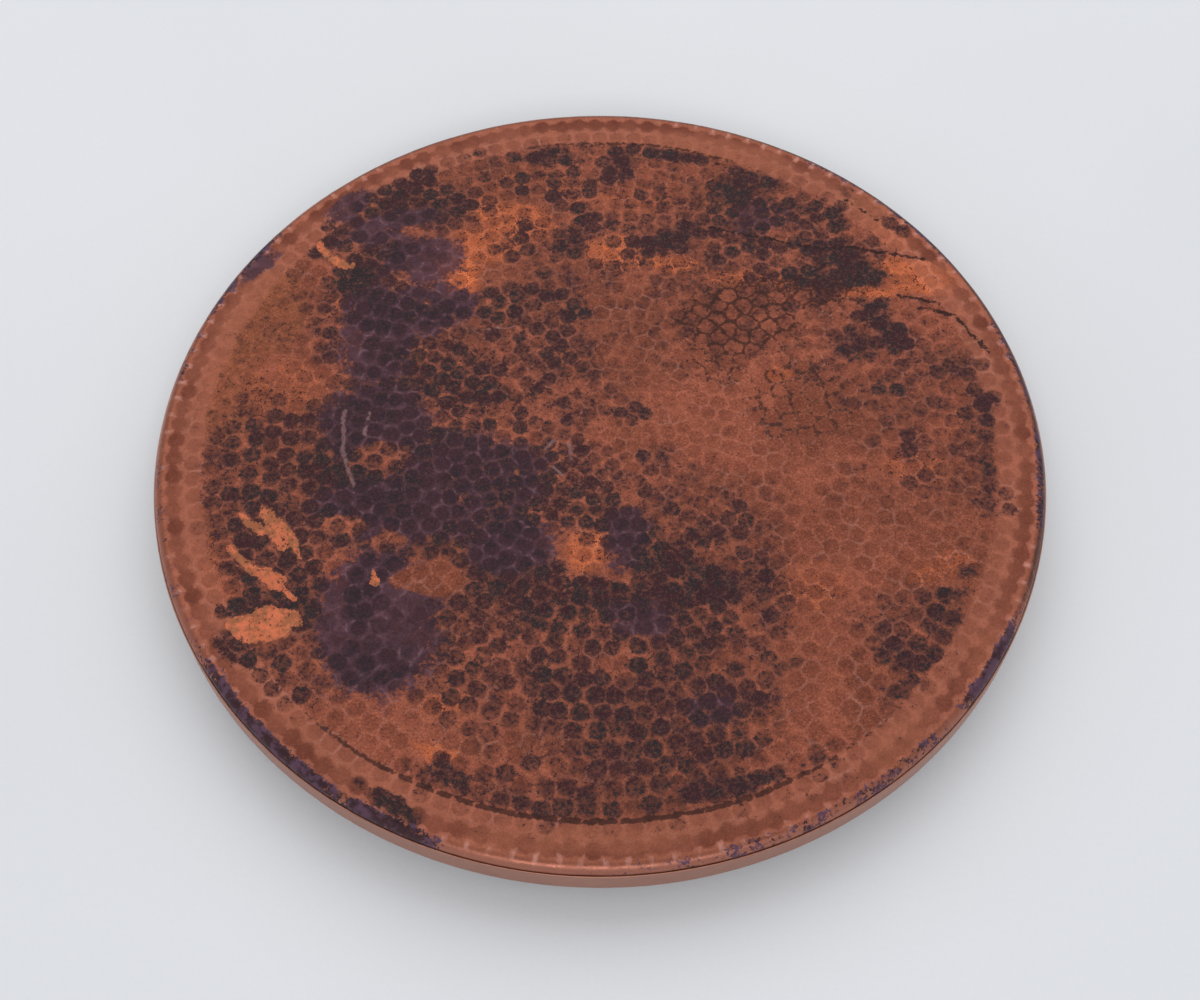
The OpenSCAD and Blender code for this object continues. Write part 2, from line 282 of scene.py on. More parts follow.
LINE_ARCS = [(-92, 38, 1.3), (84, 24, 0.8), (44, 16, 0.6), (172, 12, 0.4), (-150, 14, 0.4)]
ROLL_SHADE_ARCS = [(32, 44, 1.0), (-12, 14, 0.8), (84, 14, 0.7), (118, 16, 0.6)]
LIP_HIGHLIGHT_ARCS = [
    (160, 22, 1.0), (130, 8, 0.7), (52, 26, 0.9), (20, 14, 0.6), (-88, 26, 0.8), (-150, 14, 0.6),
    (-25, 14, 0.7),
]
ROLL_STAINS = [
    (-134, 14, 1.2), (-116, 7, 1.1), (-34, 7, 1.1), (-58, 16, 0.6), (-76, 12, 0.5), (-6, 9, 0.8),
    (12, 10, 0.6), (38, 10, 0.6), (52, 9, 0.5), (150, 12, 0.8), (163, 8, 0.6), (-168, 12, 0.4),
]


# ---------- small numeric helpers ----------

def smooth(value, low, high):
    """0 at low, 1 at high, eased in between."""
    t = np.clip((value - low) / (high - low), 0, 1)
    return t * t * (3 - 2 * t)


def lattice_noise(x, y, size, seed):
    """Smooth random field from -1 to 1 whose features are about size across."""
    cells = 256
    table = np.random.default_rng(seed).uniform(-1, 1, (cells, cells))
    u, v = x / size, y / size
    i, j = np.floor(u).astype(int), np.floor(v).astype(int)
    fu, fv = smooth(u - i, 0, 1), smooth(v - j, 0, 1)
    i, j, i2, j2 = i % cells, j % cells, (i + 1) % cells, (j + 1) % cells
    near = table[i, j] * (1 - fu) + table[i2, j] * fu
    far = table[i, j2] * (1 - fu) + table[i2, j2] * fu
    return near * (1 - fv) + far * fv


def rough_noise(x, y, size, seed, octaves=4):
    """Several octaves of lattice noise."""
    total, weight = 0, 0
    for k in range(octaves):
        total = total + lattice_noise(x, y, size / 2 ** k, seed + k) / 2 ** k
        weight += 1 / 2 ** k
    return total / weight


def ellipse_field(x, y, patches):
    """Strongest of a set of soft ellipses; half strength falls on each ellipse's edge."""
    x, y = 100 * x, 100 * y
    field = np.zeros_like(x)
    for cx, cy, half_w, half_h, degrees, strength in patches:
        turn = math.radians(degrees)
        dx, dy = x - cx, y - cy
        along = (dx * math.cos(turn) + dy * math.sin(turn)) / half_w
        across = (dy * math.cos(turn) - dx * math.sin(turn)) / half_h
        field = np.maximum(field, strength * np.clip(2.2 - 1.7 * np.hypot(along, across), 0, 1))
    return field


def stroke_field(x, y, strokes):
    """1 along the middle of the nearest stroke, 0.5 on its edge."""
    x, y = 100 * x, 100 * y
    field = np.zeros_like(x)
    for x1, y1, x2, y2, half_w in strokes:
        length = math.hypot(x2 - x1, y2 - y1)
        ux, uy = (x2 - x1) / length, (y2 - y1) / length
        along = np.clip((x - x1) * ux + (y - y1) * uy, 0, length)
        off = np.hypot(x - x1 - along * ux, y - y1 - along * uy)
        field = np.maximum(field, np.clip(1 - 0.5 * off / half_w, 0, 1))
    return field


# ---------- hammer marks ----------

def hammer_marks(random):
    """Centres, pitches and depths of the marks: rings from the rim inwards, each a little uneven."""
    centres, pitches, depths = [], [], []
    radius, row = face_r - rim_row_inset, 0
    while radius > 0:
        inward = 1 - radius / face_r
        pitch = outer_pitch + (centre_pitch - outer_pitch) * inward ** 3
        if row == 0:
            pitch = rim_pitch
        if row == 1:
            pitch = second_pitch
        near_rim = row < 2
        count = max(1, round(TURN * radius / pitch))
        angle = random.uniform(0, TURN) + TURN * np.arange(count) / count
        row_slip = (rim_slip if near_rim else slip) * pitch
        angle = angle + random.normal(0, row_slip, count) / radius
        r = radius + random.normal(0, row_slip, count)
        drift = smooth(face_r - r, 2 * rim_pitch, 6 * rim_pitch)
        centres.append(np.stack([
            r * np.cos(angle) + middle_offset[0] * drift,
            r * np.sin(angle) + middle_offset[1] * drift], 1))
        pitches.append(np.full(count, pitch))
        depths.append(np.full(count, second_row_depth if row == 1 else 1.0))
        radius -= (rim_row_spacing if near_rim else row_spacing) * pitch
        row += 1
    return np.concatenate(centres), np.concatenate(pitches), np.concatenate(depths)


def delaunay(points):
    """Triangles of a set of points, as (points, corner indices)."""
    made = delaunay_2d_cdt([Vector(p) for p in points], [], [], 0, 1e-7)
    corners = np.array([list(f) for f in made[2]])
    where = np.array([list(v) for v in made[0]])
    a, b, c = where[corners[:, 0]], where[corners[:, 1]], where[corners[:, 2]]
    ab, ac = b - a, c - a
    flipped = ab[:, 0] * ac[:, 1] - ab[:, 1] * ac[:, 0] < 0
    corners[flipped] = corners[flipped][:, ::-1]
    return where, corners


def even_out(centres):
    """Moves each inner mark towards the middle of its neighbours, as a steady hand spaces them."""
    fixed = np.hypot(*centres.T) > face_r - 2.2 * rim_pitch
    _, corners = delaunay(centres)
    total, count = np.zeros_like(centres), np.zeros(len(centres))
    for i, j in ((0, 1), (1, 2), (2, 0)):
        for p, q in ((corners[:, i], corners[:, j]), (corners[:, j], corners[:, i])):
            np.add.at(total, p, centres[q])
            np.add.at(count, p, 1)
    middle = total / count[:, None]
    return np.where(fixed[:, None], centres, centres + even_pull * (middle - centres))


def ridge_points(centres, weights):
    """Points along the ridges where neighbouring marks meet: the corners and steps between them."""
    _, corners = delaunay(centres)
    a, b, c = (centres[corners[:, k]] for k in range(3))
    wa, wb, wc = (weights[corners[:, k]] for k in range(3))
    ab, ac = b - a, c - a
    rhs_b = ((b ** 2).sum(1) - (a ** 2).sum(1) - wb + wa) / 2
    rhs_c = ((c ** 2).sum(1) - (a ** 2).sum(1) - wc + wa) / 2
    det = ab[:, 0] * ac[:, 1] - ab[:, 1] * ac[:, 0]
    meet = np.stack([
        (rhs_b * ac[:, 1] - rhs_c * ab[:, 1]) / det,
        (rhs_c * ab[:, 0] - rhs_b * ac[:, 0]) / det], 1)
    near = np.hypot(*(meet - (a + b + c) / 3).T) < rim_pitch
    sides = {}
    for t, corner in enumerate(corners):
        for i, j in ((0, 1), (1, 2), (2, 0)):
            key = (min(corner[i], corner[j]), max(corner[i], corner[j]))
            sides.setdefault(key, []).append(t)
    steps = []
    for pair in sides.values():
        if len(pair) == 2 and near[pair[0]] and near[pair[1]]:
            start, end = meet[pair[0]], meet[pair[1]]
            if np.hypot(*(end - start)) > shortest_ridge:
                steps += [start + (end - start) * k / ridge_steps for k in range(1, ridge_steps)]
    return np.concatenate([meet[near], np.array(steps)])


def nearest_marks(points, centres, weights):
    """The mark that shapes each point, its power distance and the next mark's."""
    owner = np.zeros(len(points), int)
    first, second = np.zeros(len(points)), np.zeros(len(points))
    chunk = 4000
    for start in range(0, len(points), chunk):
        part = points[start:start + chunk]
        dx = part[:, 0:1] - centres[None, :, 0]
        dy = part[:, 1:2] - centres[None, :, 1]
        power = dx * dx + dy * dy - weights[None]
        rows = np.arange(len(part))
        best = power.argmin(1)
        owner[start:start + chunk] = best
        first[start:start + chunk] = power[rows, best]
        power[rows, best] = np.inf
        second[start:start + chunk] = power.min(1)
    return owner, first, second


class Hammering:
    """The marks in the sheet, and what they do at any point of it."""

    def __init__(self):
        random = np.random.default_rng(SEED)
        centres, pitches, depths = hammer_marks(random)
        self.centres = even_out(centres)
        self.pitches = pitches
        depth = depths * (cap_reach * pitches) ** 2 / (2 * hammer_r)
        depth = depth + random.normal(0, depth_spread, len(pitches))
        self.weights = 2 * hammer_r * np.clip(depth, shallowest, deepest)
        self.tone = random.uniform(0, 1, len(pitches)) * depths
        self.luck = random.uniform(0, 1, len(pitches))

    def mesh_points(self):
        """Points of the flat face: rings inside each mark, then the ridges."""
        sets = [self.centres]
        for share, count in mark_rings:
            for k in range(count):
                angle = TURN * (k + 0.5 * share) / count
                step = 0.5 * share * self.pitches[:, None] * [math.cos(angle), math.sin(angle)]
                sets.append(self.centres + step)
        sets.append(ridge_points(self.centres, self.weights))
        points = np.concatenate(sets)
        points = points[np.hypot(*points.T) < face_r - 2 * closest_points]
        cells = np.round(points / closest_points).astype(int)
        keep = {tuple(cell): i for i, cell in enumerate(cells)}
        return points[sorted(keep.values())]

    def at(self, points):
        """Depth below the top, and the values that the finish reads."""
        owner, first, second = nearest_marks(points, self.centres, self.weights)
        pitch = self.pitches[owner]
        out = np.hypot(*(points - self.centres[owner]).T)
        depth = np.maximum(0, -first / (2 * hammer_r))
        wave = 0.5 + 0.5 * lattice_noise(points[:, 0], points[:, 1], wave_length, SEED)
        return {
            "depth": depth + wave_depth * wave,
            "bowl": out / (0.5 * pitch),
            "ridge": 1 - np.clip((second - first) / (0.5 * pitch ** 2), 0, 1),
            "tone": self.tone[owner],
            "luck": self.luck[owner],
            # upward: how far up its mark a point lies, used to place painted shade in the bowls
            "upward": (points - self.centres[owner])[:, 1] / (0.5 * pitch),
            "owner": owner,
        }


def arc_field(angle, arcs):
    """Strongest of a set of arcs round the rim; half strength falls on each arc's ends."""
    field = np.zeros_like(angle)
    for middle, half, strength in arcs:
        away = np.abs((angle - middle + 180) % 360 - 180)
        field = np.maximum(field, strength * np.clip(1.5 - away / half, 0, 1))
    return field


def wandered(x, y, seed):
    """How far to push a place aside, so that the patches get ragged outlines."""
    broad = broad_wander * rough_noise(x, y, broad_size, seed)
    return broad + fine_wander * rough_noise(x, y, fine_size, seed + 20)


def patch_fields(x, y):
    """Fields of the listed patches and strokes; strokes keep more of their shape."""
    wx, wy = x + wandered(x, y, SEED + 20), y + wandered(x, y, SEED + 60)
    stroke_place = (0.6 * x + 0.4 * wx, 0.6 * y + 0.4 * wy)
    shown = 1 - np.clip(ellipse_field(wx, wy, GAPS), 0, 1)
    return {
        "soot": ellipse_field(wx, wy, SOOT) * shown,
        "haze": ellipse_field(wx, wy, HAZE) * shown,
        "glow": ellipse_field(wx, wy, GLOW),
        "tan": ellipse_field(wx, wy, TAN),
        "clean": ellipse_field(wx, wy, CLEAN),
        "net": ellipse_field(wx, wy, NET),
        "bare": np.maximum(
            ellipse_field(wx, wy, BARE), 1.2 * stroke_field(*stroke_place, SCRAPES)),
        "scratch": stroke_field(*stroke_place, SCRATCHES),
        "crack": stroke_field(0.5 * (x + wx), 0.5 * (y + wy), CRACKS),
    }


def rim_fields(x, y, over):
    """Fields of the border and the roll; over is the length along the sheet past its flat face."""
    radius = np.hypot(x, y)
    angle = np.degrees(np.arctan2(y, x))
    uneven = radius + border_wander * rough_noise(x, y, border_size, SEED + 90)
    line = np.clip(1 - np.abs(uneven - border_at) / line_half_w, 0, 1)
    on_roll = smooth(radius * band_r, face_r - 2.5 * MM, face_r + 1.5 * MM)
    return {
        "border": smooth(uneven, border_at - 0.004, border_at + 0.006),
        "line": line * arc_field(angle, LINE_ARCS),
        "stain": arc_field(angle, ROLL_STAINS) * on_roll,
        # arcs: where the edges of the rim marks get a painted highlight
        "arcs": arc_field(angle, LIP_HIGHLIGHT_ARCS),
        # dull: painted shade on stretches of the roll as it turns down
        "dull": arc_field(angle, ROLL_SHADE_ARCS) * smooth(over, 0.5 * MM, 3 * MM),
        "over": over / (10 * MM),
        "rim": smooth(radius, 0.930, 0.968),
    }


def colour_fields(points, over, marks, hammering):
    """Values, most of them from 0 to about 1, that say where each fire colour lies."""
    x, y = (points / band_r).T
    mark_soot = ellipse_field(*(hammering.centres / band_r).T, SOOT)
    fill = {"fill": mark_soot[marks["owner"]]}
    return {**patch_fields(x, y), **fill, **rim_fields(x, y, over)}


# ---------- the hammered sheet ----------

def sheet_profile():
    """Rows below the flat face: roll, skirt, inside. Each is (radius, height, length along the
    sheet), with no length where nothing shows."""
    rows = []
    for k in range(1, roll_rows + 1):
        angle = 0.5 * math.pi * k / roll_rows
        rows.append((face_r + roll_r * math.sin(angle),
                     top_z - roll_r + roll_r * math.cos(angle), face_r + roll_r * angle))
    roll_length = rows[-1][2]
    drop = top_z - roll_r - sheet_low.z
    for k in range(1, skirt_rows + 1):
        part = drop * k / skirt_rows
        rows.append((sheet_r, top_z - roll_r - part, roll_length + part))
    inner_r = sheet_r - sheet_t
    inner_roll = roll_r - sheet_t
    rows.append((inner_r, sheet_low.z, None))
    rows.append((inner_r, top_z - roll_r, None))
    for k in range(1, inner_roll_rows + 1):
        angle = 0.5 * math.pi * k / inner_roll_rows
        rows.append((face_r + inner_roll * math.cos(angle),
                     top_z - roll_r + inner_roll * math.sin(angle), None))
    rows += [(face_r * share, under_z, None) for share in inner_rings]
    return rows


def bridge(upper, lower):
    """Quads between two rings of vertex numbers that run anticlockwise."""
    nxt_upper, nxt_lower = np.roll(upper, -1), np.roll(lower, -1)
    return np.stack([upper, lower, nxt_lower, nxt_upper], 1)


def new_mesh(name, verts, faces):
    """A smooth-shaded mesh, put into the scene."""
    mesh = bpy.data.meshes.new(name)
    mesh.from_pydata(verts.tolist(), [], [list(map(int, f)) for f in faces])
    mesh.shade_smooth()
    made = bpy.data.objects.new(name, mesh)
    bpy.context.scene.collection.objects.link(made)
    return made


def set_values(mesh, name, values):
    """Stores one number for each vertex, for the finish to read."""
    layer = mesh.attributes.new(name, "FLOAT", "POINT")
    layer.data.foreach_set("value", np.ascontiguousarray(values, np.float32))


def sheet_map(made, lengths, angles):
    """Lays the sheet out flat round the middle of the texture, its underside small in a corner."""
    whole = max(lengths)
    shown = lengths >= 0
    spread = 0.498 * np.where(shown, lengths, 0) / whole
    u = np.where(shown, 0.5 + spread * np.cos(angles), 0.01 + 0.01 * np.cos(angles))
    v = np.where(shown, 0.5 + spread * np.sin(angles), 0.01 + 0.01 * np.sin(angles))
    mesh = made.data
    corner = np.zeros(len(mesh.loops), int)
    mesh.loops.foreach_get("vertex_index", corner)
    layer = mesh.uv_layers.new(name="OFBake")
    layer.data.foreach_set("uv", np.stack([u[corner], v[corner]], 1).astype(np.float32).ravel())


def hammered_sheet():
    """The top sheet in one closed mesh: hammered face, roll, skirt and plain underside."""
    hammering = Hammering()
    ring_angles = TURN * np.arange(rim_points) / rim_points
    rim = face_r * np.stack([np.cos(ring_angles), np.sin(ring_angles)], 1)
    face, corners = delaunay(np.concatenate([rim, hammering.mesh_points()]))
    radius = np.hypot(*face.T)
    edge = np.flatnonzero(radius > face_r - 0.01 * MM)
    edge = edge[np.argsort(np.arctan2(face[edge, 1], face[edge, 0]))]
    edge_angles = np.arctan2(face[edge, 1], face[edge, 0])

    rows = sheet_profile()
    ring = np.stack([np.cos(edge_angles), np.sin(edge_angles)], 1)
    flat = [face] + [ring * r for r, _, _ in rows]
    heights = [np.full(len(face), top_z)] + [np.full(len(edge), z) for _, z, _ in rows]
    lengths = [radius] + [np.full(len(edge), -1 if s is None else s) for _, _, s in rows]
    flat, heights, lengths = map(np.concatenate, (flat, heights, lengths))
    radius = np.hypot(*flat.T)
    angles = np.arctan2(flat[:, 1], flat[:, 0])

    marks = hammering.at(flat)
    on_top = (lengths >= 0) * (1 - smooth(lengths, face_r + 0.2 * MM, face_r + 2.4 * MM))
    heights = heights - marks["depth"] * on_top
    dents = smooth(rough_noise(angles * sheet_r, heights, dent_size, SEED + 7), -0.4, 0.7)
    pressed = (lengths > face_r + 2 * MM) * dent_depth * dents
    flat = flat * (1 - pressed / np.maximum(radius, MM))[:, None]

    first = len(face)
    rings = [edge] + [first + k * len(edge) + np.arange(len(edge)) for k in range(len(rows))]
    faces = [corners] + [bridge(a, b) for a, b in zip(rings, rings[1:])]
    faces = [list(f) for part in faces for f in part]
    faces.append(list(rings[-1]))
    made = new_mesh("hammered_sheet", np.column_stack([flat, heights]), faces)

    fields = colour_fields(flat, np.maximum(lengths - face_r, 0), marks, hammering)
    for name in ("bowl", "ridge", "tone", "luck", "upward"):
        set_values(made.data, name, marks[name])
    for name, values in fields.items():
        set_values(made.data, name, values)
    sheet_map(made, lengths, angles)
    return made


# ---------- the edge strip ----------

def strip_profile():
    """Closed section of the strip, as (radius, height): its outside, hem, and inside."""
    top, bottom, soft, bend = band_high.z, band_low.z, strip_soft, strip_bend
    hem_r, hem_top = band_r - hem_w, bottom + band_t
    rows = [(sheet_r, top - soft), (sheet_r + soft, top), (band_r - soft, top)]
    rows += [(band_r, top - soft), (band_r, top - 2 * soft)]
    straight = np.linspace(top - 6 * soft, bottom + bend + 6 * soft, strip_rows)
    rows += [(band_r, z) for z in straight]
    for k in range(strip_bend_rows):
        angle = 0.5 * math.pi * k / (strip_bend_rows - 1)
        rows.append((band_r - bend * (1 - math.cos(angle)), bottom + bend * (1 - math.sin(angle))))
    rows += [(band_r - bend - 6 * soft, bottom), (hem_r + 3 * soft, bottom), (hem_r + soft, bottom)]
    rows += [(hem_r, bottom + soft), (hem_r, hem_top - soft), (hem_r + soft, hem_top)]
    rows += [(hem_r + 3 * soft, hem_top), (sheet_r - 2 * soft, hem_top)]
    rows += [(sheet_r, hem_top + 2 * soft), (sheet_r, top - 3 * soft)]
    return rows


def edge_strip():
    """The plain strip, swept round from one side of its seam to the other and closed there."""
    gap = seam_w / band_r
    around = strip_steps + 1
    angles = math.pi / 2 + gap / 2 + (TURN - gap) * np.arange(around) / strip_steps
    rows = strip_profile()
    verts = []
    for r, z in rows:
        along, up = angles * band_r, np.full(around, 3 * z)
        wave = smooth(rough_noise(along, up, strip_wave_length, strip_seed), -0.5, 0.8)
        radius = r - (strip_wave * wave if r > band_r - 0.1 * MM else 0)
        verts.append(np.column_stack([
            radius * np.cos(angles), radius * np.sin(angles), np.full(around, z)]))
    faces = []
    for k in range(len(rows)):
        here, there = k * around, ((k + 1) % len(rows)) * around
        faces += [[here + i, there + i, there + i + 1, here + i + 1] for i in range(strip_steps)]
    start = [k * around for k in range(len(rows))]
    faces.append(start)
    faces.append([s + strip_steps for s in reversed(start)])
    return new_mesh("edge_strip", np.concatenate(verts), faces)


# ---------- shader helpers ----------

def srgb(red, green, blue):
    """Linear colour of a screen colour given from 0 to 255."""
    def linear(c):
        c = c / 255
        return c / 12.92 if c <= 0.04045 else ((c + 0.055) / 1.055) ** 2.4
    return (linear(red), linear(green), linear(blue), 1)


def fired(red, green, blue):
    """The same for the fire-coloured sheet, which the room lights more than it does plain paint."""
    return tuple(0.77 * c for c in srgb(red, green, blue)[:3]) + (1,)


class Shader:
    """One material being put together: each call adds a node and returns its output."""

    def __init__(self, name):
        self.material = bpy.data.materials.new(name)
        self.material.use_nodes = True
        self.nodes = self.material.node_tree.nodes
        self.links = self.material.node_tree.links
        self.nodes.clear()
        self.place = self.nodes.new("ShaderNodeTexCoord").outputs["Object"]

    def put(self, socket, value):
        """Sets a socket: links it to another node's output, or gives it a constant."""
        if isinstance(value, bpy.types.NodeSocket):
            self.links.new(value, socket)
        else:
            socket.default_value = value

    def field(self, name):
        """A value stored on the mesh."""
        node = self.nodes.new("ShaderNodeAttribute")
        node.attribute_name = name
        return node.outputs["Fac"]

    def math(self, operation, first, second=0.0):
        node = self.nodes.new("ShaderNodeMath")
        node.operation = operation
        self.put(node.inputs[0], first)
        self.put(node.inputs[1], second)
        return node.outputs[0]

    def add(self, *values):
        total = values[0]
        for value in values[1:]:
            total = self.math("ADD", total, value)
        return total

    def times(self, *values):
        total = values[0]
        for value in values[1:]:
            total = self.math("MULTIPLY", total, value)
        return total

    def less(self, first, second):
        return self.math("SUBTRACT", first, second)

    def top(self, first, second):
        return self.math("MAXIMUM", first, second)

    def step(self, value, low, high, start=0.0, end=1.0):
        """Start at low, end at high, eased in between."""
        node = self.nodes.new("ShaderNodeMapRange")
        node.interpolation_type = "SMOOTHSTEP"
        for name, given in (("Value", value), ("From Min", low), ("From Max", high),
                            ("To Min", start), ("To Max", end)):
            self.put(node.inputs[name], given)
        return node.outputs["Result"]

    def stretched(self, x, y, z, turn=(0, 0, 0)):
        """The place scaled along each axis, so that noise laid on it is drawn out."""
        node = self.nodes.new("ShaderNodeMapping")
        self.put(node.inputs["Vector"], self.place)
        self.put(node.inputs["Scale"], (x, y, z))
        self.put(node.inputs["Rotation"], turn)
        return node.outputs["Vector"]

    def noise(self, size, detail=3.0, roughness=0.5, place=None):
        """Noise from 0 to 1 with features about size (metres) across."""
        node = self.nodes.new("ShaderNodeTexNoise")
        self.put(node.inputs["Vector"], self.place if place is None else place)
        self.put(node.inputs["Scale"], 1 / size)
        self.put(node.inputs["Detail"], detail)
        self.put(node.inputs["Roughness"], roughness)
        return node.outputs["Fac"]

    def vary(self, size, detail=3.0, roughness=0.5):
        """Noise centred on 0 that mostly stays between -1 and 1."""
        return self.times(self.less(self.noise(size, detail, roughness), 0.5), 6.0)

    def mix(self, factor, first, second):
        node = self.nodes.new("ShaderNodeMix")
        node.data_type = "RGBA"
        self.put(node.inputs[0], factor)
        self.put(node.inputs[6], first)
        self.put(node.inputs[7], second)
        return node.outputs[2]

    def bump(self, height, distance):
        node = self.nodes.new("ShaderNodeBump")
        self.put(node.inputs["Height"], height)
        self.put(node.inputs["Distance"], distance)
        return node.outputs["Normal"]

    def finish(self, **sockets):
        surface = self.nodes.new("ShaderNodeBsdfPrincipled")
        output = self.nodes.new("ShaderNodeOutputMaterial")
        for name, value in sockets.items():
            self.put(surface.inputs[name.replace("_", " ")], value)
        self.links.new(surface.outputs[0], output.inputs["Surface"])
        return self.material


# ---------- the hammered sheet's finish ----------

# In the functions below, s is the shader being put together, field holds the values stored on
# the mesh, noise holds the shared noises, and each function lays its colours over the last.

SHEET_FIELDS = (
    "bowl", "ridge", "tone", "luck", "upward", "soot", "fill", "haze", "glow", "tan", "clean",
    "net", "bare", "crack", "stain", "border", "arcs", "line", "over", "rim", "scratch", "dull",
)


def sheet_noises(s):
    """Noises of the fired sheet, from broad drifts down to single grains."""
    noise = SimpleNamespace(
        broad=s.vary(60 * MM, 3),
        patchy=s.vary(19 * MM, 4, 0.65),
        blotch=s.vary(6.5 * MM, 4, 0.70),
        speck=s.vary(2.0 * MM, 3, 0.75),
        grain=s.vary(1.1 * MM, 2, 0.75))
    noise.ragged = s.add(s.times(noise.blotch, 0.35), s.times(noise.speck, 0.55))
    noise.wander = s.add(s.times(noise.patchy, 0.30), noise.ragged)
    return noise


def bowl_floor(s, field, noise):
    """1 on the floor of a mark and 0 on its sides, wider in some marks than in others. It reaches
    further towards each mark's upper side: painted shade, since soot and scale fill the floor
    darker.
    """
    # the upward term pushes the dark floor towards each mark's upper side: painted shade
    reach = s.add(field.bowl, s.times(field.upward, -0.12), s.times(field.luck, -0.24),
                  s.times(noise.ragged, 0.12))
    return s.step(reach, 0.84, 0.62)


def fired_ground(s, field, noise):
    """Red-brown copper that drifts to brown, olive and orange, and is plainer on the border."""
    drift = s.add(noise.broad, s.times(noise.patchy, 0.7))
    colour = s.mix(s.step(drift, -0.8, 1.0), fired(158, 89, 69), fired(134, 76, 59))
    earthy = s.add(field.tan, s.times(noise.wander, 0.5))
    colour = s.mix(s.step(earthy, 0.3, 0.9, 0, 0.8), colour, fired(148, 86, 60))
    warm = s.add(field.glow, s.times(noise.wander, 0.8))
    colour = s.mix(s.step(warm, 0.40, 0.75), colour, fired(192, 104, 68))
    colour = s.mix(s.step(warm, 0.90, 1.20), colour, fired(234, 124, 74))
    return s.mix(s.times(field.border, 0.6), colour, fired(174, 106, 84))


def mark_shading(s, field, noise, colour):
    """Each mark is a little darker in its bowl; its ridge is paler, part wear and part painted
    highlight, and its edge near the rim gets a painted highlight.
    """
    inside = s.step(s.add(field.bowl, s.times(noise.ragged, 0.12)), 1.0, 0.70)
    shade = s.add(s.step(field.tone, -0.1, 1.2, 0.08, 0.50),
                  s.times(field.rim, 0.25), s.times(field.border, 0.14))
    shade = s.times(inside, shade, s.step(field.tan, 0.2, 0.9, 1, 0.45))
    colour = s.mix(shade, colour, fired(104, 54, 43))
    # pale ridges: part wear, part painted highlight, more of it near the rim
    wear_and_highlight = s.step(s.add(noise.patchy, s.times(noise.blotch, 0.7)), -0.2, 0.9)
    pale = s.add(s.times(wear_and_highlight, 0.16), s.times(field.rim, 0.10), 0.02)
    pale = s.times(field.crest, pale, s.step(field.tan, 0.2, 0.8, 1, 0.2))
    # painted highlight on the edges of the marks at the rim, where the arcs say
    edge = s.times(s.step(field.bowl, 0.70, 0.90), s.step(field.ridge, 0.30, 0.85))
    broken = s.step(s.add(field.arcs, s.times(noise.blotch, 0.7)), 0.1, 1.1, 0.04, 0.60)
    lip_highlight = s.times(field.rim, edge, s.step(field.over, 0.35, 0.10), broken)
    return s.mix(s.top(pale, lip_highlight), colour, fired(226, 166, 152))


def fine_grain(s, field, noise, colour):
    """Fine brown and pale grain, weaker on the border."""
    plain = s.less(1.0, s.times(field.border, 0.6))
    brown = s.times(s.step(noise.grain, 0.0, -1.1, 0.0, 0.55), plain)
    colour = s.mix(brown, colour, fired(84, 47, 38))
    light = s.times(s.step(noise.grain, 0.1, 1.2, 0.0, 0.32), plain)
    return s.mix(light, colour, fired(214, 132, 96))


def soot_cover(s, field, noise, colour):
    """Soot: black specks that thicken into filled bowls and then into whole stretches."""
    chance = s.add(field.fill, s.times(s.less(field.luck, 0.5), 0.6))
    cloud = s.add(s.times(field.soot, 0.66), s.step(field.soot, 0.75, 1.1, 0.0, 0.35),
                  s.times(field.tan, 0.10), s.times(noise.patchy, 0.24),
                  s.times(noise.blotch, 0.30), 0.06,
                  s.times(field.hollow, s.step(chance, 0.10, 0.90, 0.02, 0.60)),
                  s.times(field.crest, -0.10))
    cloud = s.less(cloud, s.add(s.times(field.clean, 0.30), s.times(field.border, 0.45)))
    cover = s.add(cloud, s.times(noise.speck, 0.66), s.times(noise.grain, 0.60),
                  s.times(field.glow, 0.22))
    blackened = s.step(cover, 0.66, 0.84)
    reddish = s.step(s.add(noise.patchy, s.times(noise.blotch, 0.6)), -0.5, 0.5)
    black = s.mix(reddish, fired(40, 40, 44), fired(60, 36, 42))
    # paler brown specks where the soot wears thin
    lightened = s.step(s.less(noise.grain, s.times(noise.speck, 0.5)), -0.1, 0.9, 0.0, 0.50)
    black = s.mix(lightened, black, fired(112, 72, 66))
    smoked = s.times(s.step(cloud, -0.05, 0.90), 0.75)
    colour = s.mix(smoked, colour, fired(92, 58, 52))
    return s.mix(s.times(blackened, 0.92), colour, black), blackened


def ridge_web(s, field, noise, colour):
    """Dark lines along the ridges where the bowls stayed bright."""
    netted = s.step(s.add(field.net, s.times(noise.wander, 0.4)), 0.25, 0.75)
    web = s.step(s.add(field.ridge, s.times(noise.ragged, 0.3)), 0.50, 0.85)
    return s.mix(s.times(netted, web, 0.85), colour, fired(62, 40, 36))


def purple_scale(s, field, noise, colour, blackened):
    """Purple scale, smooth over bowls and ridges alike, with a painted highlight on some of its
    ridges.
    """
    scale = s.step(s.add(field.haze, s.times(noise.wander, 0.45)), 0.30, 0.75)
    paler = s.step(s.add(noise.blotch, s.times(noise.patchy, 0.6)), -0.8, 0.8)
    purple = s.mix(paler, fired(52, 37, 50), fired(94, 66, 80))
    deep = s.times(field.hollow, s.step(field.fill, 0.2, 0.9, 0.15, 0.55))
    purple = s.mix(deep, purple, fired(46, 32, 42))
    shown = s.times(scale, s.step(blackened, 0.0, 1.0, 0.84, 0.45))
    colour = s.mix(shown, colour, purple)
    # painted highlight along the ridges inside the scale
    lightened = s.times(field.crest, scale, s.step(noise.blotch, 0.1, 1.0, 0.02, 0.45))
    return s.mix(lightened, colour, fired(150, 112, 114)), scale


